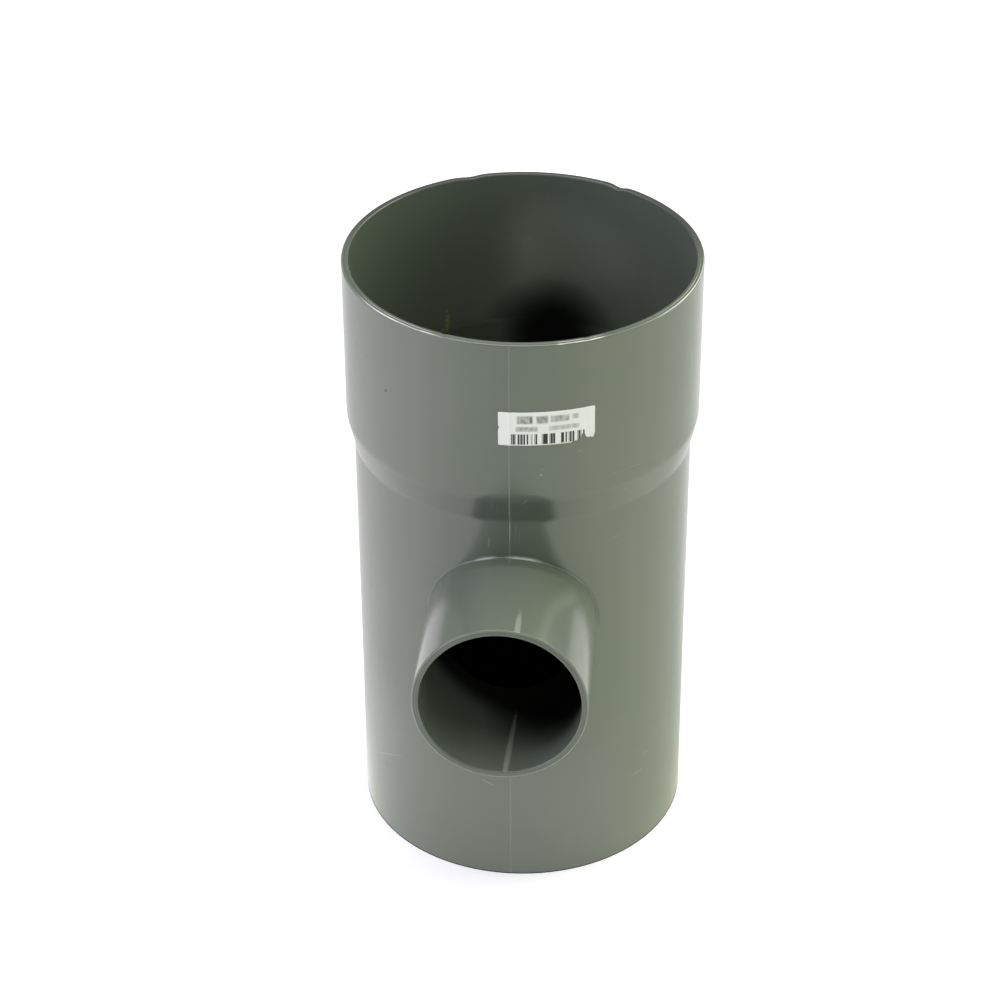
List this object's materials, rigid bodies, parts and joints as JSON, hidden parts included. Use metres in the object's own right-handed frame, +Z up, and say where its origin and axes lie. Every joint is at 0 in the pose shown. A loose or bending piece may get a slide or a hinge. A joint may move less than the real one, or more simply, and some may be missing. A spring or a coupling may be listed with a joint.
{
  "type": "pipe tee",
  "caption": "Reducing drain pipe tee: upright run with a socket above and a plain spigot below, a small plain side branch, and a torn paper price label on the socket.",
  "frame": {"origin": "centre of the run's bottom end, in the plane of its end face", "axes": "+Z up the run's axis, towards the socket's mouth; -Y the side that the branch points to; +X to the right, seen from the branch's side"},
  "size_m": [0.1046, 0.143, 0.19],
  "materials": {
    "grey_plastic": "gloss",
    "label_paper": "matte"
  },
  "bodies": {
    "root": {"tee_body": "grey_plastic", "paper_label": "label_paper"}
  },
  "joints": []
}
